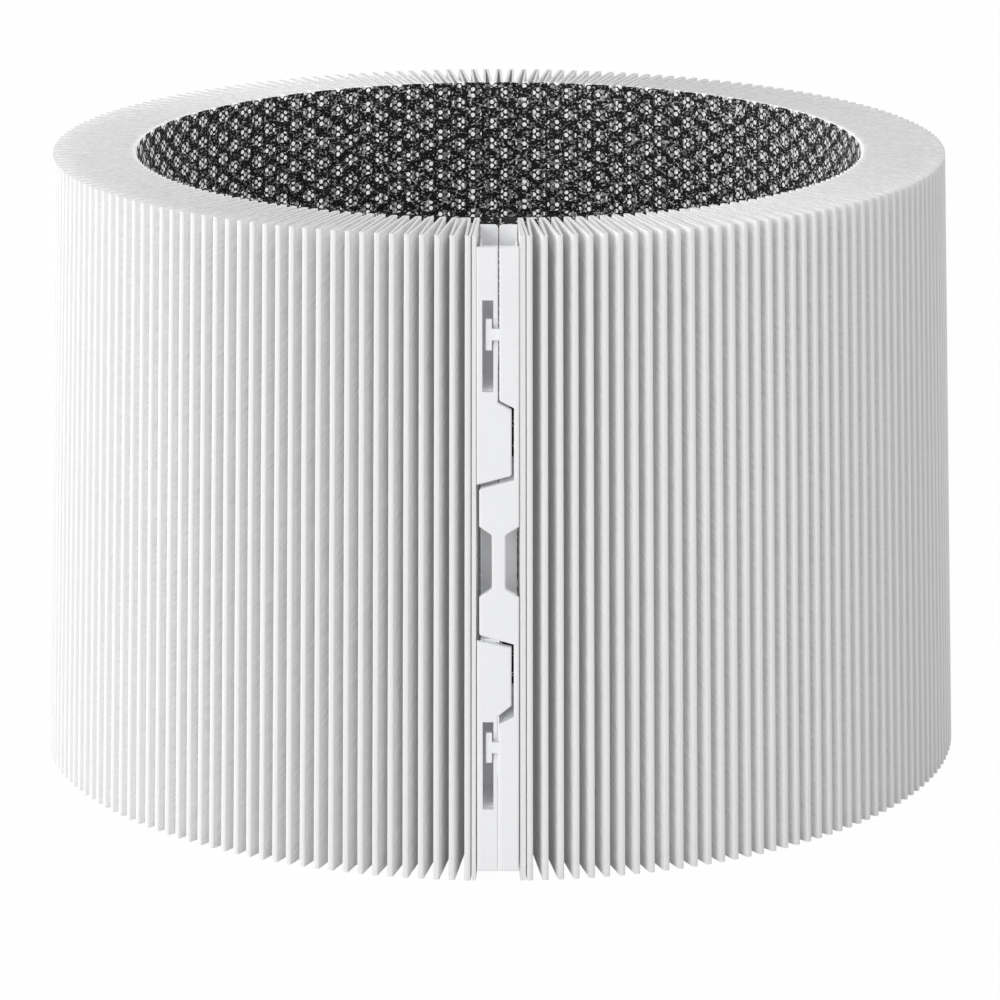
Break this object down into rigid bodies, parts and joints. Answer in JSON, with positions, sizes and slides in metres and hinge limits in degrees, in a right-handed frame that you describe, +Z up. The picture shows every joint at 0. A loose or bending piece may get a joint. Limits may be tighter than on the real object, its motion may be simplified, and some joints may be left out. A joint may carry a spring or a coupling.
{
  "type": "air purifier filter",
  "caption": "Tapered ring of radially pleated white filter media round a black carbon net, closed at the front by two interlocking moulded strips.",
  "frame": {"origin": "centre of the ring at the level it stands on", "axes": "+Z up along the ring's axis, the seam with its clip strips faces -Y"},
  "size_m": [0.2692, 0.2692, 0.1754],
  "materials": {
    "media": "matte non-woven",
    "net": "carbon-coated knit",
    "strip": "fine satin"
  },
  "bodies": {
    "root": {"pleated_media": "media", "carbon_net_liner": "net", "left_clip_strip": "strip", "right_clip_strip": "strip"}
  },
  "joints": []
}
